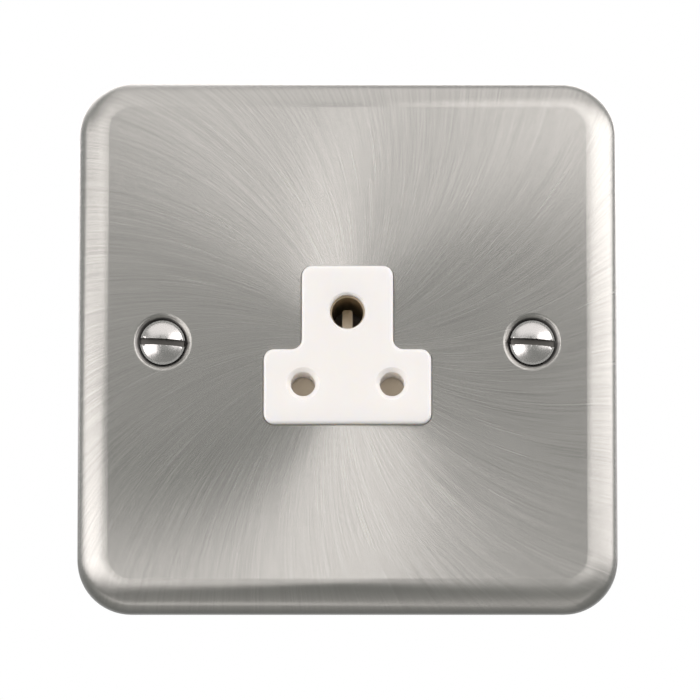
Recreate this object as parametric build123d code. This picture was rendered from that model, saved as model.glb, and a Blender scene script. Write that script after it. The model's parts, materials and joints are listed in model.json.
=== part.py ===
from build123d import *
import os
from math import sqrt

# Frame: X to the right, Y into the wall, Z up, in millimetres. The wall is the plane Y = 0,
# and the origin is midway between the two fixing screws.

# Front plate, pressed from steel sheet
PLATE_SIZE = 88.0
PLATE_CORNER_R = 8.8
PLATE_DEPTH = 6.5
PLATE_EDGE_R = 5.0
SHEET = 1.0

# Fixing screws, raised countersunk and slotted, in pressed conical seats
FIXING_CENTRES = 60.3
SCREW_D = 3.5
SCREW_HEAD_D = 7.3
SCREW_LENGTH = 25.0
SCREW_TIP = 0.6
SCREW_NECK_D = 2.9
SCREW_NECK_PAST = 0.6
DOME_RISE = 0.9
HEAD_RIM = 0.35
HEAD_EDGE = 0.25
SLOT_WIDTH = 1.05
SLOT_DEPTH = 1.3
SLOT_TILT = 3.5
SEAT_D = 9.2
SEAT_LIP_R = 0.5
SEAT_PLAY = 0.05
SCREW_HOLE_PLAY = 0.25

# T-shaped face of the socket moulding
T_BAR_W = 27.3
T_BAR_H = 12.3
T_STEM_W = 14.9
T_HEIGHT = 26.1
T_CENTRE_Z = -0.6
T_CORNER_R = 1.7
T_PROUD = 1.2
T_EDGE_R = 0.5
T_GAP = 0.15

# Round pin pattern: earth above, neutral left and line right, seen from the front
LINE_TO_NEUTRAL = 14.48
EARTH_TO_LINE = 11.94
PIN_CENTRE_Z = -1.1
LINE_PIN_D = 3.56
EARTH_PIN_D = 5.08
LINE_PIN_PLAY = 0.22
EARTH_PIN_PLAY = 0.3
LINE_LEAD_IN = 0.7
EARTH_LEAD_IN = 0.35
LINE_GUIDE_LENGTH = 6.3
EARTH_LIP = 1.5

# Mouldings
FLANGE_T = 2.5
FLANGE_MARGIN = 2.0
FLANGE_R = 3.0
BODY_WALL = 2.0
BODY_R = 2.0
REAR_WALL = 2.4
REAR_EDGE_R = 0.8
COLLAR_WALL = 1.2
COLLAR_H = 0.8
GUIDE_WALL = 1.6
BOSS_WALL = 1.3
FIT = 0.15

# Shutter
SHUTTER_T = 2.0
SHUTTER_TRAVEL = 4.4
SHUTTER_PLAY = 0.25
SHUTTER_COVER = 0.55
STOP_PLAY = 0.1
STOP_H = 1.5
STEM_W = 6.0
FINGER_W = 1.65
FINGER_CORNER_R = 0.45
FINGER_RISE = 1.5
FINGER_REACH = 3.0
FINGER_NOSE = 1.0
FINGER_PLAY = 0.3
RAMP_DROP = 0.35

# Shutter spring
SPRING_D = 2.16
SPRING_WIRE = 0.36
SPRING_TURNS = 7
SPRING_PLAY = 0.35
SPRING_SEAT_WEB = 2.3
SPRING_END_PLAY = 0.05
PEG_D = 1.2
PEG_H = 1.5

# Contacts and terminals
TUBE_WALL = 0.6
TUBE_PLAY = 0.03
TUBE_SLIT = 0.8
TUBE_RECESS = 0.2
CONTACT_DEPTH = 8.5
TAIL_T = 0.7
TAIL_H = 4.8
BLOCK_SIDE = 6.8
BLOCK_D = 8.0
BLOCK_EDGE = 0.4
BLOCK_GAP = 1.4
EARTH_BLOCK_GAP = 1.2
WIRE_HOLE_D = 4.0
WIRE_HOLE_SETBACK = 3.1
WIRE_ENTRY_PLAY = 0.4
WIRE_FUNNEL = 0.8
SPIGOT_D = 2.5
SPIGOT_PROUD = 0.4
PILLAR_SIDE = 4.4
EARTH_PIN_LENGTH = 20.0

# Terminal screws
TERMINAL_SCREW_D = 3.4
TERMINAL_HEAD_D = 5.5
TERMINAL_HEAD_H = 2.0
TERMINAL_SLOT = 0.9
THREAD_PLAY = 0.05
TIP_SETBACK = 0.25
HEAD_GAP = 0.4

# Self-tapping screws that hold the two mouldings together
TAPPER_D = 2.9
TAPPER_HEAD_D = 5.4
TAPPER_HEAD_H = 2.0
TAPPER_BITE = 3.4
TAPPER_PILOT_PLAY = 0.05
TAPPER_HOLE_PLAY = 0.25
TAPPER_SLOT = 0.8

# Weld studs and push-on nuts that hold the moulding to the plate
STUD_D = 3.0
STUD_LENGTH = 5.5
STUD_SPREAD = 30.0
STUD_PLAY = 0.15
PUSH_NUT_D = 7.2
PUSH_NUT_T = 0.4
PUSH_NUT_DISH = 0.6
PUSH_NUT_RIM = 1.2
PUSH_NUT_SLIT = 0.5

# Earth strap between the plate and the earth contact
STRAP_W = 5.0
STRAP_T = 0.6
STRAP_BEND_R = 1.2
STRAP_FOOT = 7.0
STRAP_GAP = 0.6
RIVET_D = 2.2
RIVET_HEAD_D = 3.8
RIVET_HEAD_H = 0.5
RIVET_PLAY = 0.05

# Planes along Y, from the face to the back
FACE_Y = -PLATE_DEPTH - T_PROUD
PLATE_INNER_Y = -PLATE_DEPTH + SHEET
FLANGE_BACK = PLATE_INNER_Y + FLANGE_T
EARTH_LIP_BACK = FACE_Y + EARTH_LIP
GUIDE_BACK = FACE_Y + LINE_GUIDE_LENGTH
SHUTTER_FRONT = GUIDE_BACK + SHUTTER_PLAY
SHUTTER_BACK = SHUTTER_FRONT + SHUTTER_T
SHUTTER_MID = (SHUTTER_FRONT + SHUTTER_BACK) / 2
PARTING_Y = SHUTTER_BACK + SHUTTER_PLAY
TAIL_FRONT = CONTACT_DEPTH - TAIL_T
BLOCK_BACK = CONTACT_DEPTH + BLOCK_D
WIRE_Y = CONTACT_DEPTH + WIRE_HOLE_SETBACK
PILLAR_END = TAIL_FRONT - SPIGOT_PROUD - FIT
POCKET_BACK = BLOCK_BACK + FIT
BODY_BACK = POCKET_BACK + REAR_WALL

# Radii of the pin holes and contact tubes
LINE_HOLE_R = LINE_PIN_D / 2 + LINE_PIN_PLAY
EARTH_HOLE_R = EARTH_PIN_D / 2 + EARTH_PIN_PLAY
LINE_TUBE_R = LINE_PIN_D / 2 + TUBE_PLAY + TUBE_WALL
EARTH_TUBE_R = EARTH_PIN_D / 2 + TUBE_PLAY + TUBE_WALL
EARTH_BOSS_R = EARTH_TUBE_R + FIT + BOSS_WALL

# Places in the front view
PIN_X = LINE_TO_NEUTRAL / 2
EARTH_Z = PIN_CENTRE_Z + EARTH_TO_LINE / 2
LINE_Z = PIN_CENTRE_Z - EARTH_TO_LINE / 2
T_BOTTOM = T_CENTRE_Z - T_HEIGHT / 2
T_TOP = T_CENTRE_Z + T_HEIGHT / 2
BLOCK_X = PIN_X + LINE_TUBE_R + BLOCK_GAP + BLOCK_SIDE / 2
EARTH_BLOCK_Z = EARTH_Z + EARTH_TUBE_R + EARTH_BLOCK_GAP + BLOCK_SIDE / 2
WING_R = LINE_HOLE_R + SHUTTER_COVER
WING_X = PIN_X + WING_R
SHUTTER_BOTTOM = LINE_Z - WING_R
SHUTTER_TOP = LINE_Z + WING_R
STEM_TOP = EARTH_Z - EARTH_BOSS_R - FIT
SPRING_SEAT = STEM_TOP - SPRING_SEAT_WEB
SPRING_FLOOR = SHUTTER_BOTTOM - SHUTTER_TRAVEL - SHUTTER_PLAY
FINGER_TOP = EARTH_Z + FINGER_RISE
RAMP_Z = EARTH_Z - EARTH_PIN_D / 2 - RAMP_DROP
RAMP_FRONT = SHUTTER_FRONT - FINGER_REACH
BODY_HALF_W = BLOCK_X + BLOCK_SIDE / 2 + FIT + BODY_WALL
BODY_TOP = EARTH_BLOCK_Z + BLOCK_SIDE / 2 + FIT + BODY_WALL
BODY_BOTTOM = SPRING_FLOOR - STOP_H - BODY_WALL
STUD_TOP_Z = BODY_TOP + FIT + PUSH_NUT_D / 2 + FLANGE_MARGIN / 2
STUD_BOTTOM_Z = BODY_BOTTOM - FIT - PUSH_NUT_D / 2 - FLANGE_MARGIN / 2
FLANGE_TOP = STUD_TOP_Z + PUSH_NUT_D / 2 + FLANGE_MARGIN / 2
FLANGE_BOTTOM = STUD_BOTTOM_Z - PUSH_NUT_D / 2 - FLANGE_MARGIN / 2
STRAP_X = -(BLOCK_SIDE / 2 + FIT + STRAP_GAP + STRAP_W / 2)
STRAP_Z = FLANGE_TOP + STRAP_GAP + STRAP_T / 2

SIDES = (-1, 1)
PAST = 1.0


# Solids from outlines
def slab(outline, y_front, y_back):
    """Prism of an outline drawn in the front view, from y_front to y_back."""
    return extrude(Plane.XZ.offset(-y_back) * outline, amount=y_back - y_front)


def rod(x, z, radius, y_front, y_back):
    """Round bar along Y."""
    return slab(Pos(x, z) * Circle(radius), y_front, y_back)


def brick(x_low, x_high, y_front, y_back, z_low, z_high):
    """Rectangular block between three pairs of planes."""
    size = (x_high - x_low, y_back - y_front, z_high - z_low)
    centre = ((x_low + x_high) / 2, (y_front + y_back) / 2, (z_low + z_high) / 2)
    return Pos(*centre) * Box(*size)


def post(x, y, radius, z_low, z_high):
    """Round bar along Z."""
    return extrude(Plane.XY.offset(z_low) * Pos(x, y) * Circle(radius), amount=z_high - z_low)


def turned(x, z, *points):
    """Solid of revolution about a line along Y, from (radius, y) points."""
    profile = make_face(Polyline(*points, close=True))
    return Pos(x, 0, z) * revolve(profile, Axis.Y)


def framed(x_low, x_high, z_low, z_high, corner_r):
    """Rounded rectangle in the front view between given edges."""
    outline = RectangleRounded(x_high - x_low, z_high - z_low, corner_r)
    return Pos((x_low + x_high) / 2, (z_low + z_high) / 2) * outline


def t_outline():
    """Rounded T seen from the front, with its bar at the bottom."""
    bar_mid = T_BOTTOM + T_BAR_H / 2
    bar = Pos(0, bar_mid) * Rectangle(T_BAR_W, T_BAR_H)
    stem = Pos(0, (bar_mid + T_TOP) / 2) * Rectangle(T_STEM_W, T_TOP - bar_mid)
    return fillet((bar + stem).vertices(), T_CORNER_R)


def body_outline(inset=0.0):
    """Outline that the two mouldings share behind the plate."""
    wide = BODY_HALF_W - inset
    return framed(-wide, wide, BODY_BOTTOM + inset, BODY_TOP - inset, BODY_R)


# Front plate: a pressed shell with a T opening and two conical screw seats
def seat_y(radius):
    """Depth of the conical seat's front surface at a radius."""
    return -PLATE_DEPTH + SEAT_D / 2 - radius


SCREW_HOLE_R = SCREW_D / 2 + SCREW_HOLE_PLAY
SEAT_BACK_Y = seat_y(SCREW_HOLE_R) + SHEET / 2


def make_front_plate():
    outer = slab(RectangleRounded(PLATE_SIZE, PLATE_SIZE, PLATE_CORNER_R), -PLATE_DEPTH, 0)
    outer = fillet(outer.faces().sort_by(Axis.Y)[0].edges(), PLATE_EDGE_R)
    inside = PLATE_SIZE - 2 * SHEET
    hollow = slab(RectangleRounded(inside, inside, PLATE_CORNER_R - SHEET), PLATE_INNER_Y, 0)
    hollow = fillet(hollow.faces().sort_by(Axis.Y)[0].edges(), PLATE_EDGE_R - SHEET)
    back_shift = SHEET * sqrt(2)
    back_end_r = SEAT_D / 2 - PLATE_DEPTH + back_shift - SEAT_BACK_Y
    back_start_r = SEAT_D / 2 + back_shift - SHEET
    for side in SIDES:
        hollow -= turned(
            side * FIXING_CENTRES / 2, 0,
            (0, PLATE_INNER_Y), (back_start_r, PLATE_INNER_Y), (back_end_r, SEAT_BACK_Y), (0, SEAT_BACK_Y),
        )
    plate = outer - hollow
    plate -= slab(offset(t_outline(), T_GAP), -PLATE_DEPTH - PAST, PLATE_INNER_Y + PAST)
    for side in SIDES:
        plate -= turned(
            side * FIXING_CENTRES / 2, 0,
            (0, -PLATE_DEPTH - PAST), (SEAT_D / 2 + PAST, -PLATE_DEPTH - PAST),
            (SCREW_HOLE_R, seat_y(SCREW_HOLE_R)), (SCREW_HOLE_R, 0), (0, 0),
        )
    rims = plate.faces().sort_by(Axis.Y)[0].edges().filter_by(GeomType.CIRCLE)
    rims = [rim for rim in rims if abs(rim.radius - SEAT_D / 2) < SHEET / 10]
    return fillet(rims, SEAT_LIP_R)


def make_fixing_screw(side):
    head_r = SCREW_HEAD_D / 2
    seat = seat_y(head_r) - SEAT_PLAY
    rim_y = seat - HEAD_EDGE
    dome_r = head_r - HEAD_RIM
    top_y = rim_y - DOME_RISE
    ball_r = (dome_r**2 + DOME_RISE**2) / (2 * DOME_RISE)
    half_way = (dome_r / 2, top_y + ball_r - sqrt(ball_r**2 - dome_r**2 / 4))
    tip_y = top_y + SCREW_LENGTH
    shank_r = SCREW_D / 2
    neck_r = SCREW_NECK_D / 2
    thread_y = SEAT_BACK_Y + SCREW_NECK_PAST
    dome = ThreePointArc((0, top_y), half_way, (dome_r, rim_y))
    flank = Polyline(
        (dome_r, rim_y), (head_r, rim_y), (head_r, seat), (neck_r, seat + head_r - neck_r),
        (neck_r, thread_y), (shank_r, thread_y + shank_r - neck_r), (shank_r, tip_y - SCREW_TIP),
        (shank_r - SCREW_TIP, tip_y), (0, tip_y), (0, top_y),
    )
    screw = revolve(make_face(dome + flank), Axis.Y)
    slot = Pos(0, top_y, 0) * Box(SCREW_HEAD_D + PAST, 2 * SLOT_DEPTH, SLOT_WIDTH)
    return Pos(side * FIXING_CENTRES / 2, 0, 0) * (screw - Rot(0, SLOT_TILT, 0) * slot)


# Studs welded inside the plate, and the dished nuts pushed over them
STUD_PLACES = [(side * STUD_SPREAD / 2, z) for side in SIDES for z in (STUD_BOTTOM_Z, STUD_TOP_Z)]


def make_plate_studs():
    return [rod(x, z, STUD_D / 2, PLATE_INNER_Y, PLATE_INNER_Y + STUD_LENGTH) for x, z in STUD_PLACES]


def make_push_nuts():
    bore_r = STUD_D / 2 + RIVET_PLAY
    flat_r = PUSH_NUT_D / 2 - PUSH_NUT_RIM
    edge_r = PUSH_NUT_D / 2
    top = FLANGE_BACK + PUSH_NUT_T
    dish = FLANGE_BACK + PUSH_NUT_DISH
    half_slit = PUSH_NUT_SLIT / 2
    nuts = []
    for x, z in STUD_PLACES:
        nut = turned(
            x, z,
            (edge_r, FLANGE_BACK), (edge_r, top), (flat_r, top), (bore_r, dish + PUSH_NUT_T),
            (bore_r, dish), (flat_r, FLANGE_BACK),
        )
        for wide, tall in ((flat_r, half_slit), (half_slit, flat_r)):
            nut -= brick(x - wide, x + wide, FLANGE_BACK, dish + PUSH_NUT_T, z - tall, z + tall)
        nuts.append(nut)
    return nuts


# Socket moulding: T face, flange, pin guides, shutter chamber and terminal pillars
def lead_in(x, z, hole_r, flare):
    """Conical mouth of a pin hole at the face."""
    return turned(
        x, z,
        (0, FACE_Y - PAST), (hole_r + flare + PAST, FACE_Y - PAST), (hole_r, FACE_Y + flare),
        (0, FACE_Y + flare),
    )


def terminal_places():
    """Name, X, Z and wire direction of each terminal block."""
    return [
        ("line", BLOCK_X, LINE_Z, -1),
        ("neutral", -BLOCK_X, LINE_Z, -1),
        ("earth", 0, EARTH_BLOCK_Z, 1),
    ]


def make_socket_front():
    face = slab(t_outline(), FACE_Y, PLATE_INNER_Y)
    face = fillet(face.faces().sort_by(Axis.Y)[0].edges(), T_EDGE_R)
    flange_half = BODY_HALF_W + FLANGE_MARGIN
    flange = framed(-flange_half, flange_half, FLANGE_BOTTOM, FLANGE_TOP, FLANGE_R)
    part = face + slab(flange, PLATE_INNER_Y, FLANGE_BACK)
    part += slab(body_outline(), FLANGE_BACK, PARTING_Y) - slab(body_outline(BODY_WALL), FLANGE_BACK, PARTING_Y)
    part += rod(0, EARTH_Z, EARTH_BOSS_R, FLANGE_BACK, PARTING_Y)
    rail_x = WING_X + SHUTTER_PLAY
    rail_top = SHUTTER_TOP + STOP_PLAY + STOP_H
    for side in SIDES:
        part += rod(side * PIN_X, LINE_Z, LINE_HOLE_R + BOSS_WALL, FLANGE_BACK, GUIDE_BACK)
        rail = sorted((side * rail_x, side * (rail_x + GUIDE_WALL)))
        part += brick(*rail, FLANGE_BACK, PARTING_Y, SPRING_FLOOR, rail_top)
        stop = sorted((side * (rail_x - GUIDE_WALL), side * (rail_x + GUIDE_WALL)))
        part += brick(*stop, FLANGE_BACK, PARTING_Y, SHUTTER_TOP + STOP_PLAY, rail_top)
        part += rod(side * BLOCK_X, EARTH_Z, TAPPER_D / 2 + BOSS_WALL, FLANGE_BACK, PARTING_Y)
    part += brick(-STEM_W / 2, STEM_W / 2, FLANGE_BACK, PARTING_Y, BODY_BOTTOM + BODY_WALL / 2, SPRING_FLOOR)
    part += post(0, SHUTTER_MID, PEG_D / 2, SPRING_FLOOR, SPRING_FLOOR + PEG_H)
    half = PILLAR_SIDE / 2
    for name, x, z, way in terminal_places():
        part += brick(x - half, x + half, FLANGE_BACK, PILLAR_END, z - half, z + half)
    tongue_half = STRAP_W / 2
    part += brick(
        STRAP_X - tongue_half, STRAP_X + tongue_half, PARTING_Y, CONTACT_DEPTH - FIT,
        BODY_TOP - BODY_WALL, BODY_TOP,
    )
    part -= rod(0, EARTH_Z, EARTH_HOLE_R, FACE_Y - PAST, PARTING_Y)
    part -= rod(0, EARTH_Z, EARTH_TUBE_R + FIT, EARTH_LIP_BACK, PARTING_Y)
    part -= lead_in(0, EARTH_Z, EARTH_HOLE_R, EARTH_LEAD_IN)
    slot_half = FINGER_W / 2 + FINGER_PLAY
    slot_low = SPRING_SEAT - SHUTTER_TRAVEL - FINGER_PLAY
    part -= brick(-slot_half, slot_half, RAMP_FRONT - FINGER_PLAY, PARTING_Y, slot_low, EARTH_Z)
    for side in SIDES:
        part -= rod(side * PIN_X, LINE_Z, LINE_HOLE_R, FACE_Y - PAST, GUIDE_BACK)
        part -= lead_in(side * PIN_X, LINE_Z, LINE_HOLE_R, LINE_LEAD_IN)
        pilot_r = TAPPER_D / 2 + TAPPER_PILOT_PLAY
        part -= rod(side * BLOCK_X, EARTH_Z, pilot_r, PARTING_Y - TAPPER_BITE - FIT, PARTING_Y)
    for x, z in STUD_PLACES:
        part -= rod(x, z, STUD_D / 2 + STUD_PLAY, PLATE_INNER_Y, FLANGE_BACK)
    return part


# Rear housing: holds the contacts and terminals in pockets open towards the parting plane
def funnel(x, edge, way):
    """Flared mouth of a wire entry at the top or bottom wall, where way is 1 or -1."""
    radius = WIRE_HOLE_D / 2 + WIRE_ENTRY_PLAY
    cone = Cone(radius, radius + WIRE_FUNNEL, WIRE_FUNNEL)
    return Pos(x, WIRE_Y, edge - way * WIRE_FUNNEL / 2) * Rot(0 if way > 0 else 180, 0, 0) * cone


def make_rear_housing():
    part = slab(body_outline(), PARTING_Y, BODY_BACK)
    part = fillet(part.faces().sort_by(Axis.Y)[-1].edges(), REAR_EDGE_R)
    screw_well_r = TERMINAL_HEAD_D / 2 + 2 * FIT
    for name, x, z, way in terminal_places():
        part += rod(x, z, screw_well_r + COLLAR_WALL, BODY_BACK, BODY_BACK + COLLAR_H)
    half = BLOCK_SIDE / 2 + FIT
    tail_half = TAIL_H / 2 + FIT
    tail_back = CONTACT_DEPTH + FIT
    entry_r = WIRE_HOLE_D / 2 + WIRE_ENTRY_PLAY
    for name, x, z, way in terminal_places():
        part -= brick(x - half, x + half, PARTING_Y, POCKET_BACK, z - half, z + half)
        part -= rod(x, z, screw_well_r, POCKET_BACK - PAST, BODY_BACK + COLLAR_H)
        edge = BODY_TOP if way > 0 else BODY_BOTTOM
        part -= post(x, WIRE_Y, entry_r, *sorted((z, edge)))
        part -= funnel(x, edge, way)
    for side in SIDES:
        part -= rod(side * PIN_X, LINE_Z, LINE_HOLE_R + FIT, PARTING_Y, PARTING_Y + SHEET)
        part -= rod(side * PIN_X, LINE_Z, LINE_TUBE_R + FIT, PARTING_Y + SHEET, tail_back)
        channel = sorted((side * PIN_X, side * BLOCK_X))
        part -= brick(*channel, PARTING_Y + SHEET, tail_back, LINE_Z - tail_half, LINE_Z + tail_half)
        hole_r = TAPPER_D / 2 + TAPPER_HOLE_PLAY
        part -= rod(side * BLOCK_X, EARTH_Z, hole_r, PARTING_Y, BODY_BACK)
        head_r = TAPPER_HEAD_D / 2 + TAPPER_HOLE_PLAY
        part -= rod(side * BLOCK_X, EARTH_Z, head_r, BODY_BACK - TAPPER_HEAD_H - FIT, BODY_BACK)
    part -= rod(0, EARTH_Z, EARTH_TUBE_R + FIT, PARTING_Y, FACE_Y + EARTH_PIN_LENGTH + PAST)
    part -= brick(-tail_half, tail_half, PARTING_Y, tail_back, EARTH_Z, EARTH_BLOCK_Z)
    strap_low = STRAP_X - STRAP_W / 2 - FIT
    strap_back = CONTACT_DEPTH + STRAP_T + RIVET_HEAD_H + FIT
    pocket_top = BODY_TOP - BODY_WALL
    part -= brick(strap_low, 0, PARTING_Y, strap_back, EARTH_BLOCK_Z - tail_half, pocket_top)
    notch_high = STRAP_X + STRAP_W / 2 + FIT
    notch_back = CONTACT_DEPTH + STRAP_T + FIT
    part -= brick(strap_low, notch_high, PARTING_Y, notch_back, EARTH_BLOCK_Z, BODY_TOP)
    return part


# Shutter: two wings behind the pin guides and a ramped finger in the earth tube
def make_shutter():
    wings = framed(-WING_X, WING_X, SHUTTER_BOTTOM, SHUTTER_TOP, T_EDGE_R)
    stem = Pos(0, (LINE_Z + STEM_TOP) / 2) * Rectangle(STEM_W, STEM_TOP - LINE_Z)
    part = slab(wings + stem, SHUTTER_FRONT, SHUTTER_BACK)
    ramp = make_face(Polyline(
        (RAMP_FRONT, RAMP_Z), (SHUTTER_MID, FINGER_TOP), (SHUTTER_BACK, FINGER_TOP),
        (SHUTTER_BACK, SPRING_SEAT), (SHUTTER_FRONT, SPRING_SEAT), (RAMP_FRONT, RAMP_Z - FINGER_NOSE),
        close=True,
    ))
    finger = extrude(Plane.YZ * ramp, amount=FINGER_W / 2, both=True)
    front = framed(-FINGER_W / 2, FINGER_W / 2, SPRING_SEAT - PAST, FINGER_TOP, FINGER_CORNER_R)
    part += finger & slab(front, RAMP_FRONT, SHUTTER_BACK)
    window_half = SPRING_D / 2 + SPRING_PLAY
    part -= brick(-window_half, window_half, SHUTTER_FRONT, SHUTTER_BACK, SHUTTER_BOTTOM, SPRING_SEAT)
    return part + post(0, SHUTTER_MID, PEG_D / 2, SPRING_SEAT - PEG_H, SPRING_SEAT)


def make_shutter_spring():
    low = SPRING_FLOOR + SPRING_END_PLAY + SPRING_WIRE / 2
    high = SPRING_SEAT - SPRING_END_PLAY - SPRING_WIRE / 2
    coil_r = (SPRING_D - SPRING_WIRE) / 2
    path = Helix((high - low) / SPRING_TURNS, high - low, coil_r)
    wire = sweep(Plane(path @ 0, z_dir=path % 0) * Circle(SPRING_WIRE / 2), path, is_frenet=True)
    return Pos(0, SHUTTER_MID, low) * wire


# Contacts: rolled brass tubes with a flat tail riveted to each terminal block
def rolled_tube(x, z, outer_r, y_front, y_back, slit_angle, slit):
    """Split tube along Y, open on the side that slit_angle points to in the front view."""
    ring = Circle(outer_r) - Circle(outer_r - TUBE_WALL)
    gap = Rot(0, 0, slit_angle) * Pos(outer_r / 2 + TUBE_WALL, 0) * Rectangle(outer_r + TUBE_WALL, slit)
    return slab(Pos(x, z) * (ring - gap), y_front, y_back)


def make_line_contact(side):
    slit_angle = 180 if side > 0 else 0
    tube_front = PARTING_Y + SHEET + TUBE_RECESS
    part = rolled_tube(side * PIN_X, LINE_Z, LINE_TUBE_R, tube_front, CONTACT_DEPTH, slit_angle, TUBE_SLIT)
    inner = PIN_X + LINE_TUBE_R - TUBE_WALL
    ends = sorted((side * inner, side * (BLOCK_X + TAIL_H / 2)))
    tail = brick(*ends, TAIL_FRONT, CONTACT_DEPTH, LINE_Z - TAIL_H / 2, LINE_Z + TAIL_H / 2)
    tail -= rod(side * PIN_X, LINE_Z, LINE_TUBE_R - TUBE_WALL / 2, TAIL_FRONT, CONTACT_DEPTH)
    tail -= rod(side * BLOCK_X, LINE_Z, SPIGOT_D / 2 + RIVET_PLAY, TAIL_FRONT, CONTACT_DEPTH)
    return part + tail


def make_earth_contact():
    slit = FINGER_W + 2 * FINGER_PLAY
    part = rolled_tube(0, EARTH_Z, EARTH_TUBE_R, EARTH_LIP_BACK + TUBE_RECESS, CONTACT_DEPTH, -90, slit)
    tail_top = EARTH_BLOCK_Z + TAIL_H / 2
    tail = brick(-TAIL_H / 2, TAIL_H / 2, TAIL_FRONT, CONTACT_DEPTH, EARTH_Z, tail_top)
    arm_end = STRAP_X - STRAP_W / 2
    tail += brick(arm_end, 0, TAIL_FRONT, CONTACT_DEPTH, EARTH_BLOCK_Z - TAIL_H / 2, tail_top)
    tail -= rod(0, EARTH_Z, EARTH_TUBE_R - TUBE_WALL / 2, TAIL_FRONT, CONTACT_DEPTH)
    tail -= rod(0, EARTH_BLOCK_Z, SPIGOT_D / 2 + RIVET_PLAY, TAIL_FRONT, CONTACT_DEPTH)
    tail -= rod(STRAP_X, EARTH_BLOCK_Z, RIVET_D / 2 + RIVET_PLAY, TAIL_FRONT, CONTACT_DEPTH)
    return part + tail


# Terminals: brass blocks with a wire hole along Z and a clamping screw from the rear
def make_terminal(x, z):
    half = BLOCK_SIDE / 2
    part = brick(x - half, x + half, CONTACT_DEPTH, BLOCK_BACK, z - half, z + half)
    part = chamfer(part.edges().filter_by(Axis.Y), BLOCK_EDGE)
    part += rod(x, z, SPIGOT_D / 2, TAIL_FRONT - SPIGOT_PROUD, CONTACT_DEPTH)
    part -= post(x, WIRE_Y, WIRE_HOLE_D / 2, z - half, z + half)
    return part - rod(x, z, TERMINAL_SCREW_D / 2 + THREAD_PLAY, WIRE_Y, BLOCK_BACK)


def make_terminal_screw(x, z):
    tip = WIRE_Y + WIRE_HOLE_D / 2 + TIP_SETBACK
    head = BLOCK_BACK + HEAD_GAP
    part = rod(x, z, TERMINAL_SCREW_D / 2, tip, head)
    part += rod(x, z, TERMINAL_HEAD_D / 2, head, head + TERMINAL_HEAD_H)
    slot_half = TERMINAL_SLOT / 2
    reach = TERMINAL_HEAD_D / 2 + PAST
    slot_y = head + TERMINAL_HEAD_H / 2
    return part - brick(x - reach, x + reach, slot_y, head + TERMINAL_HEAD_H, z - slot_half, z + slot_half)


# Earth strap, bent from strip, and the rivet that joins it to the earth contact's arm
def make_earth_strap():
    plate_y = PLATE_INNER_Y + STRAP_T / 2
    rear_y = CONTACT_DEPTH + STRAP_T / 2
    path = FilletPolyline(
        (plate_y, STRAP_Z + STRAP_FOOT), (plate_y, STRAP_Z), (rear_y, STRAP_Z),
        (rear_y, EARTH_BLOCK_Z - TAIL_H / 2), radius=STRAP_BEND_R,
    )
    band = extrude(Plane.YZ.offset(STRAP_X) * trace(path, STRAP_T), amount=STRAP_W / 2, both=True)
    return band - rod(STRAP_X, EARTH_BLOCK_Z, RIVET_D / 2 + RIVET_PLAY, CONTACT_DEPTH, CONTACT_DEPTH + STRAP_T)


def make_earth_strap_rivet():
    front = TAIL_FRONT
    back = CONTACT_DEPTH + STRAP_T
    part = rod(STRAP_X, EARTH_BLOCK_Z, RIVET_D / 2, front, back)
    part += rod(STRAP_X, EARTH_BLOCK_Z, RIVET_HEAD_D / 2, front - RIVET_HEAD_H, front)
    return part + rod(STRAP_X, EARTH_BLOCK_Z, RIVET_HEAD_D / 2, back, back + RIVET_HEAD_H)


# Self-tapping screws from the rear housing into the socket moulding
def make_housing_screws():
    head_front = BODY_BACK - TAPPER_HEAD_H - FIT
    tip = PARTING_Y - TAPPER_BITE
    slot_y = head_front + TAPPER_HEAD_H / 2
    reach = TAPPER_HEAD_D / 2 + PAST
    screws = []
    for side in SIDES:
        x = side * BLOCK_X
        part = rod(x, EARTH_Z, TAPPER_D / 2, tip, head_front)
        part += rod(x, EARTH_Z, TAPPER_HEAD_D / 2, head_front, head_front + TAPPER_HEAD_H)
        for wide, tall in ((reach, TAPPER_SLOT / 2), (TAPPER_SLOT / 2, reach)):
            part -= brick(
                x - wide, x + wide, slot_y, head_front + TAPPER_HEAD_H, EARTH_Z - tall, EARTH_Z + tall,
            )
        screws.append(part)
    return screws


def write(node, *solids):
    """Save one node's solids under the node's name."""
    shape = solids[0] if len(solids) == 1 else Compound(children=list(solids))
    export_step(shape, f"parts/{node}.step")


os.makedirs("parts", exist_ok=True)
write("front_plate", make_front_plate())
write("plate_studs", *make_plate_studs())
write("push_nuts", *make_push_nuts())
write("socket_front", make_socket_front())
write("rear_housing", make_rear_housing())
write("shutter", make_shutter())
write("shutter_spring", make_shutter_spring())
write("line_contact", make_line_contact(1))
write("neutral_contact", make_line_contact(-1))
write("earth_contact", make_earth_contact())
for name, x, z, way in terminal_places():
    write(f"{name}_terminal", make_terminal(x, z))
    write(f"{name}_terminal_screw", make_terminal_screw(x, z))
write("earth_strap", make_earth_strap())
write("earth_strap_rivet", make_earth_strap_rivet())
write("housing_screws", *make_housing_screws())
write("fixing_screw_left", make_fixing_screw(-1))
write("fixing_screw_right", make_fixing_screw(1))
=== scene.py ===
# %% [markdown]
# # A round pin wall socket, dressed for the camera
# The part is a pressed metal wall plate that carries a small white socket with three round holes.
# All of its solids come ready made, at their real size and place, and none of them is moved here.
# This lesson gives each of them a finish, adds the few things that solids leave out, such as screw
# threads, and then sets up a small photo studio round the part.

# %% Load the part
import json
import math

import bmesh
import bpy
from mathutils import Matrix, Vector


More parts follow.
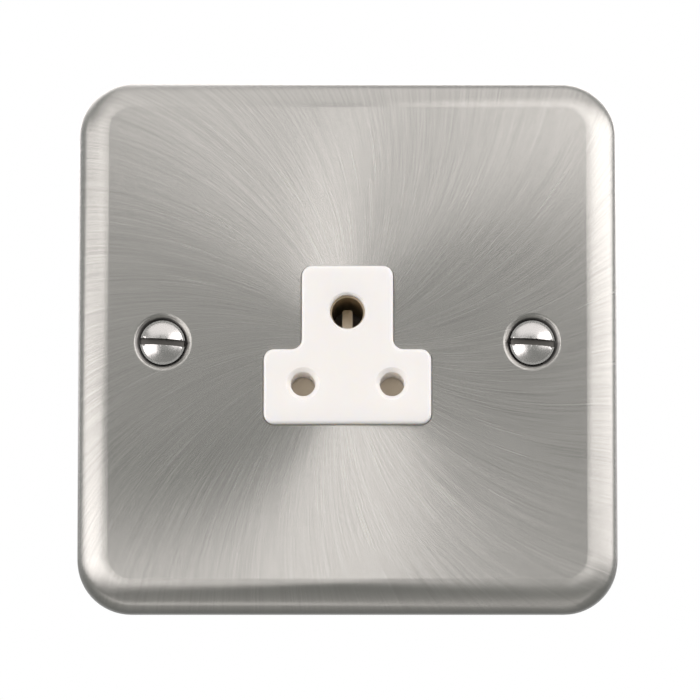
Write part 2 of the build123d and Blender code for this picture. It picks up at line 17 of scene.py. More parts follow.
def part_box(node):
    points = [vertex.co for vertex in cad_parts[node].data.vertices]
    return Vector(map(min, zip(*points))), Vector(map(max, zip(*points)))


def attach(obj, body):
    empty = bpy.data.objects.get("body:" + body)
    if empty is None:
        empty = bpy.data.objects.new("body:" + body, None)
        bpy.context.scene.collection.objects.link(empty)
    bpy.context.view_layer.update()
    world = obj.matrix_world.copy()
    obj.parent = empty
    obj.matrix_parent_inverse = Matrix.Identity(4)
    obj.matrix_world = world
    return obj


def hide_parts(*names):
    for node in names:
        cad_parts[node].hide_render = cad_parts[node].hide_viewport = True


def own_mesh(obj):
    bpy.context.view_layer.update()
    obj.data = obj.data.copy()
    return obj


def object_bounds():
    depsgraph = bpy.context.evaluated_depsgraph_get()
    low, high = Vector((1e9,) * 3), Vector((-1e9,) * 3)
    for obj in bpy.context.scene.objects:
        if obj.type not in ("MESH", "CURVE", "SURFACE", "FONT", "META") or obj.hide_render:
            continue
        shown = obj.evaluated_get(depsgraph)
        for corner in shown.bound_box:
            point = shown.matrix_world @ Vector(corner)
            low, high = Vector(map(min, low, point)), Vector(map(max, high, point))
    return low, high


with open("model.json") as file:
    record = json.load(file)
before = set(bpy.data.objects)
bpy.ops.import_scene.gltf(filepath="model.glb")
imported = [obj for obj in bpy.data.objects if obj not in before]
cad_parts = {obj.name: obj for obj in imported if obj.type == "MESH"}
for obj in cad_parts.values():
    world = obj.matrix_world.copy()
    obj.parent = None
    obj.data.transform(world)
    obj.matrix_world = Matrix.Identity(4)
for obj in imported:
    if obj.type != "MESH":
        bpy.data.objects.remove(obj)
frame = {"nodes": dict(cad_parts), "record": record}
MM = 0.001
cad_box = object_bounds()
size_mm = [round(length / MM, 2) for length in cad_box[1] - cad_box[0]]
print(len(frame["nodes"]), "solid pieces, in a box of", size_mm, "mm")

# %% [markdown]
# ## Writing nodes as arithmetic
# A finish is a tree of nodes. Wiring each node by hand takes many lines, and the idea gets lost in
# them. So one small class holds an output socket, and plain arithmetic on it adds the Math nodes.
# Every other node comes from a single method, which is given the node's type, then its settings,
# then what goes into its sockets. The same class serves shaders and geometry, because both are trees.

# %% The class
# The sockets of a Mix node that mixes colours.
MIX_FACTOR, MIX_LOW, MIX_HIGH, MIX_RESULT = 0, 6, 7, 2


class Wire:
    """An output socket of a node tree, or the empty tree that a first node is made in."""

    def __init__(self, tree, socket=None):
        self.tree = tree
        self.socket = socket

    def node(self, kind, settings=None, inputs=None, output=0):
        """A new node with its settings and sockets set, held by one of its outputs."""
        made = self.tree.nodes.new(kind)
        for name, value in (settings or {}).items():
            setattr(made, name, value)
        for name, value in (inputs or {}).items():
            if isinstance(value, Wire):
                self.tree.links.new(value.socket, made.inputs[name])
            else:
                made.inputs[name].default_value = value
        return Wire(self.tree, made.outputs[output])

    def other(self, output):
        """Another output of the same node."""
        return Wire(self.tree, self.socket.node.outputs[output])

    def math(self, operation, *values):
        return self.node("ShaderNodeMath", {"operation": operation}, dict(enumerate((self, *values))))

    def vector(self, operation, *values):
        inputs = dict(enumerate((self, *values)))
        return self.node("ShaderNodeVectorMath", {"operation": operation}, inputs)

    def parts(self):
        """The X, Y and Z of this vector."""
        split = self.node("ShaderNodeSeparateXYZ", None, {0: self})
        return [split.other(axis) for axis in "XYZ"]

    def point(self, x, y, z):
        """A vector in the same tree, from its three parts."""
        return self.node("ShaderNodeCombineXYZ", None, {0: x, 1: y, 2: z})

    def within(self, low, high):
        """This value, held between two limits."""
        return self.math("MAXIMUM", low).math("MINIMUM", high)

    def between(self, low, high):
        """A colour from low, where this value is 0, to high, where it is 1."""
        inputs = {MIX_FACTOR: self, MIX_LOW: low, MIX_HIGH: high}
        return self.node("ShaderNodeMix", {"data_type": "RGBA"}, inputs, MIX_RESULT)

    def __add__(self, value):
        return self.math("ADD", value)

    def __mul__(self, value):
        return self.math("MULTIPLY", value)

    def __sub__(self, value):
        return self.math("SUBTRACT", value)

    def __rsub__(self, value):
        return self.node("ShaderNodeMath", {"operation": "SUBTRACT"}, {0: value, 1: self})

    def __truediv__(self, value):
        return self.math("DIVIDE", value)

    def __neg__(self):
        return self * -1

    __radd__ = __add__
    __rmul__ = __mul__


print("arithmetic on sockets is ready")

# %% [markdown]
# ## A bench for finishes
# A finish starts as one Principled shader, and all but one stay so. What is the same all over the
# surface is set on the shader's own sockets. What changes over the surface is wired in. All patterns
# are measured in real metres on the part, so that a grain of 0.2 mm is 0.2 mm on every piece.

# %% New finishes and grain
finishes = {}


def colour(red, green, blue):
    return (red, green, blue, 1.0)


def new_finish(name, **fixed):
    """A material with one Principled shader whose fixed sockets are set."""
    material = bpy.data.materials.new(name)
    material.use_nodes = True
    shader = material.node_tree.nodes["Principled BSDF"]
    for socket, value in fixed.items():
        shader.inputs[socket.replace("_", " ")].default_value = value
    finishes[name] = material
    return Wire(material.node_tree), shader


def feed(shader, **wires):
    """Wire patterns into a shader's sockets."""
    for socket, wire in wires.items():
        wire.tree.links.new(wire.socket, shader.inputs[socket.replace("_", " ")])


def on_part(bench):
    return bench.node("ShaderNodeTexCoord", output="Object")


def grain(bench, size, detail=2.0, place=None):
    """Soft noise from 0 to 1 with spots of about the given size in metres."""
    inputs = {"Vector": place or on_part(bench), "Scale": 1 / size, "Detail": detail}
    return bench.node("ShaderNodeTexNoise", None, inputs)


def stretched(bench, size, stretch):
    """Grain that is longer along some axes, by the given three factors."""
    scale = tuple(1 / factor for factor in stretch)
    place = bench.node("ShaderNodeMapping", None, {"Vector": on_part(bench), "Scale": scale})
    return grain(bench, size, detail=3.0, place=place)


def ramp(value, start, end):
    """A smooth rise from 0, where the value is at the start, to 1, where it is at the end."""
    inputs = {"Value": value, "From Min": start, "From Max": end}
    return value.node("ShaderNodeMapRange", {"interpolation_type": "SMOOTHSTEP"}, inputs)


def raised(bench, height, depth):
    """Normals of a surface that the height pattern lifts by up to the depth, in metres."""
    return bench.node("ShaderNodeBump", None, {"Height": height, "Distance": depth})


print("finishes can be made")

# %% [markdown]
# ## Satin chrome, brushed in curved strokes
# The plate was held against a turning abrasive pad before it was plated. Each stroke is an arc that
# starts at the centre of the plate and swings to the left as it runs outwards. Light slides along
# such strokes and spreads across them, and this draws the two bright fans above and below the socket.
# A shader's own anisotropy would need a direction that changes over the surface. Normals that are
# tipped at random from point to point would do, but they turn into a fur of bright dots. The strokes
# are made here as what they are instead: grooves, whose walls lean to either side but never along
# the stroke. First comes a map of where each stroke runs.

# %% The direction of the strokes
STROKE_RADIUS = 64 * MM


def stroke_map(bench):
    """For each point: its lane, its distance from the centre, and the direction across its stroke."""
    x, _, z = on_part(bench).parts()
    reach = (x * x + z * z).math("SQRT")
    swing = (reach / (2 * STROKE_RADIUS)).math("ARCSINE")
    heading = z.math("ARCTAN2", x)
    course = heading + swing
    across = bench.point(-course.math("SINE"), 0.0, course.math("COSINE"))
    return heading - swing, reach, across


def grooves(bench, lane, reach, lanes, length, detail=0.0):
    """Noise from -0.5 to 0.5 in strokes of the given length, with so many lanes to a radian."""
    place = bench.point(lane.math("COSINE") * lanes, lane.math("SINE") * lanes, reach / length)
    return grain(bench, 1.0, detail, place) - 0.5


print("strokes are arcs of", STROKE_RADIUS / MM, "mm radius")

# %% [markdown]
# ### Tone, painted shade and crown of the plate
# No two strokes are alike, so long thin streaks lighten and darken the metal. They are strongest
# near the centre, where the pad was pressed on, and fade towards the edge. Shade is also painted into
# the colour: a dark ring in the cones that the screws sit in, close round each head, and a darker edge
# where the plate turns to the wall. The inside of the pressing is bare steel. The light on the face also
# falls off as it does on a slightly crowned sheet, so the normals lean outwards a little while the shape
# stays flat.

# %% Fine grooves, streaks and bands
FINE_LANES, FINE_LENGTH = 6000.0, 6 * MM
STREAK_LANES, STREAK_LENGTH = 200.0, 12 * MM
BAND_LANES, BAND_LENGTH, BAND_DETAIL = 40.0, 16 * MM, 2.0
FADE_START, FADE_END, FADE = 18 * MM, 46 * MM, 0.36

bench, shader = new_finish("satin_chrome")
lane, reach, across = stroke_map(bench)
fine = grooves(bench, lane, reach, FINE_LANES, FINE_LENGTH)
fade = ramp(reach, FADE_START, FADE_END) * FADE
streaks = grooves(bench, lane, reach, STREAK_LANES, STREAK_LENGTH) * (1 - fade)
bands = grooves(bench, lane, reach, BAND_LANES, BAND_LENGTH, BAND_DETAIL)
print("streaks are about", round(STREAK_LENGTH / MM), "mm long")

# %% Where the brushed finish shows, and the painted shade
OUTER_LEAN = 0.3
# The edge is painted darker towards the back, where it turns to the wall: painted shade.
RIM_FRONT_Y, RIM_BACK_Y, RIM_PAINTED_SHADE = -4.4 * MM, -1.8 * MM, 0.65
# Inside this radius round each screw, the cone is painted dark as the shadow round the head.
SEAT_SHADOW_RADIUS, SEAT_SHADOW_BLUR = 4.15 * MM, 0.15 * MM

screw_low, screw_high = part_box("fixing_screw_right")
screw_x = (screw_low.x + screw_high.x) / 2
x, y, z = on_part(bench).parts()
normal = bench.node("ShaderNodeNewGeometry", output="Normal")
lean_x, lean_y, lean_z = normal.parts()
outward = (lean_x * x + lean_z * z) / reach
outer = (outward - lean_y).math("GREATER_THAN", OUTER_LEAN)
# Painted shade that grows towards the back of the edge.
rim_shade = ramp(y, RIM_FRONT_Y, RIM_BACK_Y)
beside = x.math("ABSOLUTE") - screw_x
from_screw = (beside * beside + z * z).math("SQRT")
front = lean_y.math("LESS_THAN", 0.0)
# The painted shadow in the cone round each screw head, on front faces only.
seat_shadow = ramp(from_screw, SEAT_SHADOW_RADIUS + SEAT_SHADOW_BLUR, SEAT_SHADOW_RADIUS - SEAT_SHADOW_BLUR) * front
# Where the brushed colour shows: the face, less the painted shade at the edge and round the heads.
brushed_outside_painted_shade = outer * (1 - rim_shade * RIM_PAINTED_SHADE) * (1 - seat_shadow)
print("the screws are", round(2 * screw_x / MM, 1), "mm apart")

# %% Tone, roughness and crown
STREAK_TONE, BAND_TONE, MIDDLE_TONE = 0.3, 0.08, 0.5
DARK_CHROME, PALE_CHROME = colour(0.237, 0.235, 0.222), colour(0.711, 0.706, 0.665)
DARK_STEEL, PALE_STEEL = colour(0.30, 0.295, 0.28), colour(0.46, 0.455, 0.44)
# The dark colour of the painted shadow round the screw heads.
SEAT_PAINTED_SHADOW = colour(0.10, 0.098, 0.094)
BRUSHED_ROUGH, STREAK_ROUGH = 0.25, 0.1
INNER_ROUGH, INNER_DRIFT = 0.38, 0.2
CROWN = 1.9

tone = streaks * STREAK_TONE + bands * BAND_TONE + MIDDLE_TONE
brushed = tone.between(DARK_CHROME, PALE_CHROME)
# Bare steel for the inside of the pressing; the painted shade at the edge also blends towards it.
bare_steel_and_rim_shade = grain(bench, 3 * MM, detail=4.0).between(DARK_STEEL, PALE_STEEL)
# The painted shade takes the brushed colour towards bare steel at the edge, and to dark round the heads.
tint = brushed_outside_painted_shade.between(seat_shadow.between(bare_steel_and_rim_shade, SEAT_PAINTED_SHADOW), brushed)
outer_rough = BRUSHED_ROUGH + streaks * STREAK_ROUGH
inner_rough = INNER_ROUGH + grain(bench, 1.2 * MM) * INNER_DRIFT
rough = outer * outer_rough + (1 - outer) * inner_rough
lean = on_part(bench).vector("MULTIPLY", (CROWN, 0.0, CROWN))
crowned = lean.vector("MULTIPLY_ADD", outer, normal)
edge_lean = math.degrees(math.atan(CROWN * cad_box[1].x))
print("at the plate's edge the normals lean out by", round(edge_lean, 1), "degrees")

# %% [markdown]
# ### Walls of a groove
# One groove is far finer than a pixel, so a pixel shows all of its slopes at once. Nine shaders stand
# for nine slopes, from one wall through the bottom to the other wall. They are mixed by how common
# each slope is, most at the bottom and least at the steepest. Together they spread the light across
# the stroke and leave it sharp along the stroke.

# %% Nine slopes of one groove
WALL_SPREAD = 0.254
STEPS_PER_SPREAD = 2
WALL_STEPS = range(-4, 5)
FINE_TILT = 0.5
STREAK_TILT = 0.08

scratch = fine * FINE_TILT + streaks * STREAK_TILT
surface, share = None, 0.0
for step in WALL_STEPS:
    slope = step / STEPS_PER_SPREAD
    tip = (scratch + slope * WALL_SPREAD) * outer
    tipped = across.vector("MULTIPLY_ADD", tip, crowned).vector("NORMALIZE")
    look = {"Base Color": tint, "Metallic": 1.0, "Roughness": rough, "Normal": tipped}
    wall = bench.node("ShaderNodeBsdfPrincipled", None, look)
    weight = math.exp(-slope * slope / 2)
    share += weight
    if surface:
        wall = bench.node("ShaderNodeMixShader", None, {0: weight / share, 1: surface, 2: wall})
    surface = wall
bench.tree.nodes.remove(shader)
bench.tree.links.new(surface.socket, bench.tree.nodes["Material Output"].inputs["Surface"])
print("satin chrome has", len(bench.tree.nodes), "nodes")

# %% [markdown]
# ## Bright chrome
# The two screws were polished before plating and mirror the room. Plating is never quite level, so
# a faint wave in the surface keeps the mirror from looking like glass. The slot is rougher than the
# head round it, and its colour is painted dark as the shade inside it.

# %% The screws' finish
SLOT_TILT = math.radians(3.5)
SLOT_HALF, SLOT_SLACK = 0.525 * MM, 0.01 * MM
HEAD_BACK_Y = -4.5 * MM
POLISHED_ROUGH, HAZE_ROUGH, SLOT_ROUGH = 0.22, 0.10, 0.2
DARK_POLISH, PALE_POLISH = colour(0.64, 0.63, 0.61), colour(0.72, 0.71, 0.69)
# The painted shade inside the screw slots.
SLOT_PAINTED_SHADE = colour(0.17, 0.163, 0.152)

bench, shader = new_finish("bright_chrome", Metallic=1.0)
wave = grain(bench, 0.9 * MM, detail=1.0)
haze = grain(bench, 0.25 * MM, detail=3.0)
x, y, z = on_part(bench).parts()
side_sign = x.math("GREATER_THAN", 0.0) * 2 - 1
off_slot = (x - side_sign * screw_x) * math.sin(SLOT_TILT) + z * math.cos(SLOT_TILT)
in_slot = off_slot.math("ABSOLUTE").math("LESS_THAN", SLOT_HALF + SLOT_SLACK)
in_slot = in_slot * y.math("LESS_THAN", HEAD_BACK_Y)
feed(
    shader,
    # In the slot the colour is painted shade.
    Base_Color=in_slot.between(haze.between(DARK_POLISH, PALE_POLISH), SLOT_PAINTED_SHADE),
    Roughness=POLISHED_ROUGH + haze * HAZE_ROUGH + in_slot * SLOT_ROUGH,
    Normal=raised(bench, wave, depth=0.02 * MM),
)
print("bright chrome is ready")

# %% [markdown]
# ## Moulded plastics
# The socket is pressed from a white thermosetting powder, which leaves a hard surface with a low
# gloss and a hint of flow marks. The rear housing left a spark-eroded tool and has its fine matt
# texture. The shutter is a plain ivory moulding. All three are near white, so the difference
# between them lies in tint, gloss and grain.

# %% The three mouldings
FLOW_SIZE, FLOW_STRETCH = 6 * MM, (1, 1, 2)
SKIN_ROUGH = 0.12


def moulding(name, low, high, rough, texture, depth, **fixed):
    """A plastic that mottles from the low to the high colour and has a fine surface texture."""
    bench, shader = new_finish(name, IOR=1.5, **fixed)
    flow = stretched(bench, FLOW_SIZE, FLOW_STRETCH)
    skin = grain(bench, texture, detail=3.0)
    feed(
        shader,
        Base_Color=flow.between(low, high),
        Roughness=rough + skin * SKIN_ROUGH,
        Normal=raised(bench, skin, depth),
    )


moulding(
    "white_moulding", colour(0.95, 0.905, 0.867), colour(0.965, 0.92, 0.884),
    rough=0.28, texture=0.35 * MM, depth=0.004 * MM,
    Subsurface_Weight=0.8, Subsurface_Radius=(1.0, 0.9, 0.75), Subsurface_Scale=2.5 * MM,
)
moulding(
    "housing_moulding", colour(0.80, 0.79, 0.755), colour(0.84, 0.83, 0.80),
    rough=0.46, texture=0.18 * MM, depth=0.02 * MM,
)
moulding(
    "shutter_moulding", colour(0.90, 0.82, 0.66), colour(0.93, 0.855, 0.70),
    rough=0.40, texture=0.22 * MM, depth=0.01 * MM,
)
print("three mouldings are ready")

# %% [markdown]
# ## Brass, tin and plated steel
# The contacts are cut from rolled strip and keep the lines of the rolls. The terminal blocks are sawn
# from drawn bar. The strap is tinned, and the small screws and studs are zinc plated, which
# leaves a thin film with a faint straw and blue tint. Each metal is a base colour that drifts
# with handling, and a grain that runs the way the metal was worked.

# %% The working metals
DRIFT_SIZE, DRIFT_SHARE = 2.5 * MM, 0.7
LINE_SIZE, LINE_SHARE, LINE_ROUGH, LINE_DEPTH = 0.25 * MM, 0.3, 0.2, 0.008 * MM


def worked_metal(name, low, high, rough, stretch):
    """A metal whose tone drifts between two colours, with a grain along the way it was worked."""
    bench, shader = new_finish(name, Metallic=1.0)
    drift = grain(bench, DRIFT_SIZE, detail=4.0)
    lines = stretched(bench, LINE_SIZE, stretch)
    feed(
        shader,
        Base_Color=(drift * DRIFT_SHARE + lines * LINE_SHARE).between(low, high),
        Roughness=rough + lines * LINE_ROUGH,
        Normal=raised(bench, lines, LINE_DEPTH),
    )


worked_metal(
    "contact_brass", colour(0.50, 0.41, 0.29), colour(0.72, 0.61, 0.45), rough=0.30, stretch=(8, 1, 1),
)
worked_metal(
    "terminal_brass", colour(0.60, 0.44, 0.20), colour(0.80, 0.62, 0.31), rough=0.26, stretch=(1, 10, 1),
)
worked_metal(
    "tinned_strap", colour(0.56, 0.55, 0.52), colour(0.76, 0.75, 0.72), rough=0.28, stretch=(1, 6, 6),
)
worked_metal(
    "plated_steel", colour(0.56, 0.53, 0.42), colour(0.62, 0.65, 0.68), rough=0.22, stretch=(1, 1, 1),
)
worked_metal(
    "spring_steel", colour(0.34, 0.34, 0.33), colour(0.52, 0.52, 0.51), rough=0.22, stretch=(1, 1, 4),
)
print(len(finishes), "finishes")

# %% [markdown]
# ## Dress the solid pieces
# The record lists which finish every piece has. The solids keep their meshes, and each only gets
# its material, so that nothing is left in plain grey.

# %% Hand out the finishes
for part in frame["record"]["subparts"]:
    piece = frame["nodes"][part["node"]]
    piece.data.materials.clear()
    piece.data.materials.append(finishes[part["material_slot"]])

# %% [markdown]
# ## Screw threads
# The solid screws have plain shanks. A real thread is a ridge that winds round a core, and from
# behind the plate it is the first thing that one sees. It could be a profile swept along a helix, but
# that leaves a ridge that is only stuck into a rod. Here a flat grid is rolled into the thread
# itself: its columns go round the shank, its rows climb by one pitch in each turn, and every sixth
# row starts a new ridge. The rows of one turn then meet those of the next, and the merged skin is
# closed.


# %% Helpers for geometry trees
def geometry_tree(name, **sizes):
    """A geometry tree with named inputs for its sizes and its finish, and one output."""
    tree = bpy.data.node_groups.new(name, "GeometryNodeTree")
    for label, kind in {**sizes, "finish": "Material"}.items():
        tree.interface.new_socket(label, in_out="INPUT", socket_type="NodeSocket" + kind)
    tree.interface.new_socket("piece", in_out="OUTPUT", socket_type="NodeSocketGeometry")
    source = tree.nodes.new("NodeGroupInput")
    return Wire(tree), {socket.name: Wire(tree, socket) for socket in source.outputs if socket.name}


def close_tree(shape, finish):
    """End a tree with real geometry that wears its finish."""
    smooth = shape.node("GeometryNodeSetShadeSmooth", None, {"Geometry": shape})
    real = smooth.node("GeometryNodeRealizeInstances", None, {"Geometry": smooth})
    dressed = real.node("GeometryNodeSetMaterial", None, {"Geometry": real, "Material": finish})
    output = shape.tree.nodes.new("NodeGroupOutput")
    shape.tree.links.new(dressed.socket, output.inputs[0])


def grown(name, tree, **values):
    """A plain mesh that the tree makes from the given values."""
    holder = bpy.data.objects.new(name, bpy.data.meshes.new(name))
    bpy.context.scene.collection.objects.link(holder)
    modifier = holder.modifiers.new("grow", "NODES")
    modifier.node_group = tree
    for item in tree.interface.items_tree:
        if item.in_out == "INPUT":
            modifier[item.identifier] = values[item.name]
    evaluated = holder.evaluated_get(bpy.context.evaluated_depsgraph_get())
    mesh = bpy.data.meshes.new_from_object(evaluated)
    bpy.data.objects.remove(holder)
    outward_faces(mesh)
    return mesh


def outward_faces(mesh):
    """Turn every face of a closed mesh outwards."""
    work = bmesh.new()
    work.from_mesh(mesh)
    bmesh.ops.recalc_face_normals(work, faces=work.faces)
    work.to_mesh(mesh)
    work.free()


def wear(mesh, slot):
    """Give the whole mesh one finish."""
    mesh.materials.clear()
    mesh.materials.append(finishes[slot])
    for face in mesh.polygons:
        face.material_index = 0


def new_piece(name, mesh, body):
    """A finished piece at the origin, which rides on a body."""
    piece = bpy.data.objects.new(name, mesh)
    bpy.context.scene.collection.objects.link(piece)
    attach(piece, body)
    return piece


print("geometry trees can be grown")

# %% The tree that rolls a thread
ROUND_STEPS = 24
ROWS_PER_PITCH = 6
FLANK = 1.5
SEAM = 0.002 * MM

bench, size = geometry_tree(
    "threaded shank", length="Float", core="Float", depth="Float", pitch="Float", tip="Float",
    start="Vector",
)
rows = (size["length"] / size["pitch"] + 1) * ROWS_PER_PITCH
grid = bench.node(
    "GeometryNodeMeshGrid", None,
    {"Size X": 1.0, "Size Y": 1.0, "Vertices X": ROUND_STEPS + 1, "Vertices Y": rows + 1},
)
# The grid is 1 wide and lies round its middle, so both of these run from 0 to 1.
grid_x, grid_y, _ = bench.node("GeometryNodeInputPosition").parts()
turn, climb = grid_x + 0.5, grid_y + 0.5
along = climb * (size["length"] + size["pitch"]) + (turn - 1) * size["pitch"]
along = along.within(0.0, size["length"])
row = climb * rows
beat = (row / ROWS_PER_PITCH).math("FRACT")
ridge = 1 - (beat * 2 - 1).math("ABSOLUTE")
ridge = (ridge * FLANK - (FLANK - 1) / 2).within(0.0, 1.0)
runout = (along / size["pitch"]).math("MINIMUM", 1.0)
radius = size["core"] + size["depth"] * ridge * runout
radius = radius.math("MINIMUM", size["tip"] + size["length"] - along)
# The first and the last row shrink to a point and close the ends.
inside = row.math("GREATER_THAN", 0.5) * row.math("LESS_THAN", rows - 0.5)
radius = radius * inside
angle = turn * (2 * math.pi)
rolled = bench.point(angle.math("SINE") * radius, along, angle.math("COSINE") * radius)
place = rolled.vector("ADD", size["start"])
thread = bench.node("GeometryNodeSetPosition", None, {"Geometry": grid, "Position": place})
thread = bench.node("GeometryNodeMergeByDistance", None, {"Geometry": thread, "Distance": SEAM})
close_tree(thread, size["finish"])
thread_tree = bench.tree
print("the thread tree has", len(thread_tree.nodes), "nodes")

# %% Cut the plain shanks off and set the threads in
PITCH = 0.6 * MM
THREAD_DEPTH = 0.36 * MM
TIP_CHAMFER = 0.6 * MM
NECK_CUT_Y = -2.9 * MM
OVERLAP = 0.1 * MM
MERGE = 0.001 * MM
fixing = next(m for m in frame["record"]["mounts"] if m["name"] == "fixing_screws")
shank_r = fixing["dims"]["stud_r_mm"] * MM


def head_of(node, cut_y):
    """A merged copy of a screw up to the cut, closed at the cut."""
    work = bmesh.new()
    work.from_mesh(frame["nodes"][node].data)
    bmesh.ops.remove_doubles(work, verts=work.verts, dist=MERGE)
    geometry = work.verts[:] + work.edges[:] + work.faces[:]
    bmesh.ops.bisect_plane(
        work, geom=geometry, plane_co=(0, cut_y, 0), plane_no=(0, 1, 0), clear_outer=True,
    )
    bmesh.ops.holes_fill(work, edges=[edge for edge in work.edges if edge.is_boundary])
    return work


for side in ("left", "right"):
    node = "fixing_screw_" + side
    low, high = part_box(node)
    middle = (low + high) / 2
    start = Vector((middle.x, NECK_CUT_Y - OVERLAP, middle.z))
    turns = round((high.y - start.y) / PITCH)
    mesh = grown(
        node + "_thread", thread_tree, length=turns * PITCH, core=shank_r - THREAD_DEPTH,
        depth=THREAD_DEPTH, pitch=PITCH, tip=shank_r - TIP_CHAMFER, start=start,
        finish=finishes["bright_chrome"],
    )
    work = head_of(node, NECK_CUT_Y)
    work.from_mesh(mesh)
    work.to_mesh(mesh)
    work.free()
    wear(mesh, "bright_chrome")
    screw = new_piece(node + "_threaded", mesh, "socket")
    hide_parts(node)
    print(screw.name, "has", turns, "turns and", len(mesh.polygons), "faces")

# %% [markdown]
# ## The shutter's spring
# A small coil spring under the shutter pushes it back up when the plug is pulled out. A helix is a
# path, and a round wire follows it. The end coils of a real spring lie closer than its middle, so
# the height of the helix is eased at both ends. When the shutter goes down the spring gets
# shorter.

# %% Wind the spring
WIRE = 0.36 * MM
TURNS = 7.0
END_EASE = 0.7
STEPS_PER_TURN = 28
WIRE_STEPS = 10

bench, size = geometry_tree(
    "coil spring", turns="Float", radius="Float", height="Float", wire="Float", foot="Vector",
)
helix = bench.node(
    "GeometryNodeCurveSpiral", None,
    {"Resolution": STEPS_PER_TURN, "Rotations": size["turns"], "Start Radius": size["radius"],
     "End Radius": size["radius"], "Height": size["height"]},
)
_, _, rise = bench.node("GeometryNodeInputPosition").parts()
wave = (rise / size["height"] * (2 * math.pi)).math("SINE")
lift = bench.point(0.0, 0.0, wave * size["height"] * (-END_EASE / (2 * math.pi)))
offset = lift.vector("ADD", size["foot"])
helix = bench.node("GeometryNodeSetPosition", None, {"Geometry": helix, "Offset": offset})
section = bench.node(
    "GeometryNodeCurvePrimitiveCircle", None, {"Resolution": WIRE_STEPS, "Radius": size["wire"] / 2},
)
coil = bench.node(
    "GeometryNodeCurveToMesh", None, {"Curve": helix, "Profile Curve": section, "Fill Caps": True},
)
close_tree(coil, size["finish"])

low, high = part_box("shutter_spring")
middle = (low + high) / 2
length = high.z - low.z
mesh = grown(
    "shutter_spring_coil", bench.tree, turns=TURNS, radius=(high.x - low.x - WIRE) / 2,
    height=length - WIRE, wire=WIRE, foot=Vector((middle.x, middle.y, low.z + WIRE / 2)),
    finish=finishes["spring_steel"],
)
spring = new_piece("shutter_spring_coil", mesh, "socket")
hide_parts("shutter_spring")
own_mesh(spring)
print("the spring is", round(length / MM, 2), "mm long and has", len(mesh.polygons), "faces")

# %% [markdown]
# ## Letters on the rear
# Beside each terminal the rear housing carries the letter of its wire, raised in the moulding, so that
# whoever wires it can tell line, neutral and earth apart. The letters stand on the rear face, and the
# collars round the terminal screws rise a little higher. Text is flat and lies in its own plane. It is
# made a mesh first, and then its points are turned to face the rear.

# %% Raise the letters
LETTER_SIZE = 4.2 * MM
LETTER_HEIGHT = 0.5 * MM
LETTER_SINK = 0.1 * MM
LETTER_STEP = 7.0 * MM
COLLAR_RISE = 0.8 * MM
REAR_FACE = Matrix(((-1, 0, 0), (0, 0, 1), (0, 1, 0))).to_4x4()
rear_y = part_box("rear_housing")[1].y - COLLAR_RISE


def letter_place(name):
    """Beside a terminal: under the two lower ones and to the side of the upper one."""
    low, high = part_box(name + "_terminal")
    middle = (low + high) / 2
    if name == "earth":
        return middle + Vector((LETTER_STEP, 0, 0))
    return middle - Vector((0, 0, LETTER_STEP))


letters = bmesh.new()
for name in ("line", "neutral", "earth"):
    text = bpy.data.curves.new(name, "FONT")
    text.body = name[0].upper()
    text.size = LETTER_SIZE
    text.extrude = (LETTER_HEIGHT + LETTER_SINK) / 2
    text.align_x, text.align_y = "CENTER", "CENTER"
    holder = bpy.data.objects.new(name, text)
    bpy.context.scene.collection.objects.link(holder)
    evaluated = holder.evaluated_get(bpy.context.evaluated_depsgraph_get())
    mesh = bpy.data.meshes.new_from_object(evaluated)
    place = letter_place(name)
    place.y = rear_y + (LETTER_HEIGHT - LETTER_SINK) / 2
    mesh.transform(Matrix.Translation(place) @ REAR_FACE)
    letters.from_mesh(mesh)
    bpy.data.objects.remove(holder)
bmesh.ops.remove_doubles(letters, verts=letters.verts, dist=MERGE)
mesh = bpy.data.meshes.new("terminal_letters")
letters.to_mesh(mesh)
letters.free()
outward_faces(mesh)
mesh.materials.append(finishes["housing_moulding"])
new_piece("terminal_letters", mesh, "socket")
print("letters with", len(mesh.polygons), "faces")

# %% [markdown]
# ## The studio
# Brushed metal looks like what stands round it. Two wide soft boxes stand left and right of the part
# and draw the bright fans and the bright bands along the side edges. A weaker one hangs above, and
# a narrow strip lies low behind the part and draws the thin line of light along its under edge. One
# more box stands behind, for those who walk round the part. The lamps are a shade warmer than the
# room, which is a plain mid grey, a little lighter at the back. A sheet of white paper hangs far
# behind, where only the camera looks. The paper is a soft white patch of the room itself, so no sheet
# gets in the way of other views.

# %% The room
ROOM = colour(0.342, 0.346, 0.337)
BACK_WALL = colour(0.45, 0.45, 0.446)
BACK_START, BACK_END = -0.2, 0.4
PAPER = colour(1.0, 1.0, 1.0)
PAPER_EDGE, PAPER_FULL = math.radians(14), math.radians(7)
CAMERA_DROP = math.radians(10)

scene = bpy.context.scene
scene.view_settings.view_transform = "Standard"
scene.world = bpy.data.worlds.new("studio")
scene.world.use_nodes = True
bench = Wire(scene.world.node_tree)
toward = bench.node("ShaderNodeTexCoord", output="Generated")
behind = (0.0, math.cos(CAMERA_DROP), math.sin(CAMERA_DROP))
spread = toward.vector("DOT_PRODUCT", behind).other("Value")
paper = ramp(spread, math.cos(PAPER_EDGE), math.cos(PAPER_FULL))
_, depth, _ = toward.parts()
room = ramp(depth, BACK_START, BACK_END).between(ROOM, BACK_WALL)
background = bench.tree.nodes["Background"]
bench.tree.links.new(paper.between(room, PAPER).socket, background.inputs["Color"])
print("the room is grey, with white paper behind the part")

# %% The floor
FLOOR_Z = -2.4
FLOOR_REACH = 12.0
FLOOR_MOTTLE = 0.4
DARK_FLOOR, PALE_FLOOR = colour(0.60, 0.60, 0.59), colour(0.64, 0.64, 0.63)

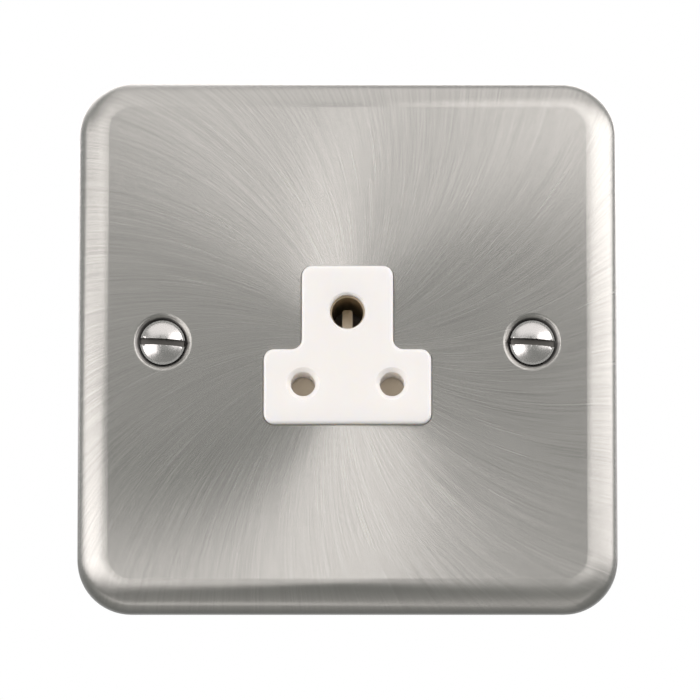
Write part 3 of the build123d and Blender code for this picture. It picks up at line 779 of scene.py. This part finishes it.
floor_mesh = bpy.data.meshes.new("floor")
work = bmesh.new()
bmesh.ops.create_grid(work, x_segments=1, y_segments=1, size=FLOOR_REACH)
work.to_mesh(floor_mesh)
work.free()
floor_mesh.transform(Matrix.Translation((0, 0, FLOOR_Z)))
floor = bpy.data.objects.new("floor", floor_mesh)
scene.collection.objects.link(floor)
bench, shader = new_finish("pale_floor", Roughness=0.9)
feed(shader, Base_Color=grain(bench, FLOOR_MOTTLE).between(DARK_FLOOR, PALE_FLOOR))
floor_mesh.materials.append(finishes["pale_floor"])
print("the floor lies", -FLOOR_Z, "m below the part")

# %% Soft boxes
LAMP_TINT = (1.04, 0.985, 0.995)


def soft_box(name, turn, rise, distance, width, height, radiance):
    """A lamp that faces the part from an angle to the right of and above straight in front of it."""
    turn, rise = math.radians(turn), math.radians(rise)
    level = math.cos(rise)
    place = Vector((math.sin(turn) * level, -math.cos(turn) * level, math.sin(rise))) * distance
    lamp = bpy.data.lights.new(name, "AREA")
    lamp.shape = "RECTANGLE"
    lamp.size, lamp.size_y = width, height
    lamp.color = LAMP_TINT
    lamp.energy = radiance * math.pi * width * height
    holder = bpy.data.objects.new(name, lamp)
    holder.location = place
    holder.rotation_euler = (-place).to_track_quat("-Z", "Y").to_euler()
    holder.visible_camera = False
    scene.collection.objects.link(holder)


soft_box("left box", turn=-63, rise=-6, distance=1.3, width=2.45, height=0.95, radiance=2.24)
soft_box("right box", turn=71, rise=18, distance=1.2, width=2.8, height=0.92, radiance=2.12)
soft_box("top box", turn=0, rise=68, distance=0.95, width=1.6, height=1.5, radiance=0.74)
soft_box("low strip", turn=180, rise=-79, distance=1.2, width=2.4, height=0.14, radiance=1.0)
soft_box("back box", turn=180, rise=32, distance=1.6, width=1.8, height=1.2, radiance=2.4)

# %% [markdown]
# ## The camera
# The photograph was taken straight on with a long lens from a little below, so that the under edge
# of the plate shows. The lens is worked out from how much of the plate's plane the frame shows.

# %% Camera
CAMERA_DISTANCE = 1.8
FRAME_WIDTH = 114.5 * MM
SENSOR_WIDTH_MM = 36.0
LOOK_AT = Vector((0.41 * MM, 0.0, -0.2 * MM))

lens = bpy.data.cameras.new("camera")
lens.sensor_width = SENSOR_WIDTH_MM
lens.lens = SENSOR_WIDTH_MM * CAMERA_DISTANCE / FRAME_WIDTH
camera = bpy.data.objects.new("camera", lens)
look = Vector(behind)
camera.location = LOOK_AT - look * CAMERA_DISTANCE
camera.rotation_euler = look.to_track_quat("-Z", "Y").to_euler()
scene.collection.objects.link(camera)
scene.camera = camera
print("lens of", round(lens.lens), "mm")
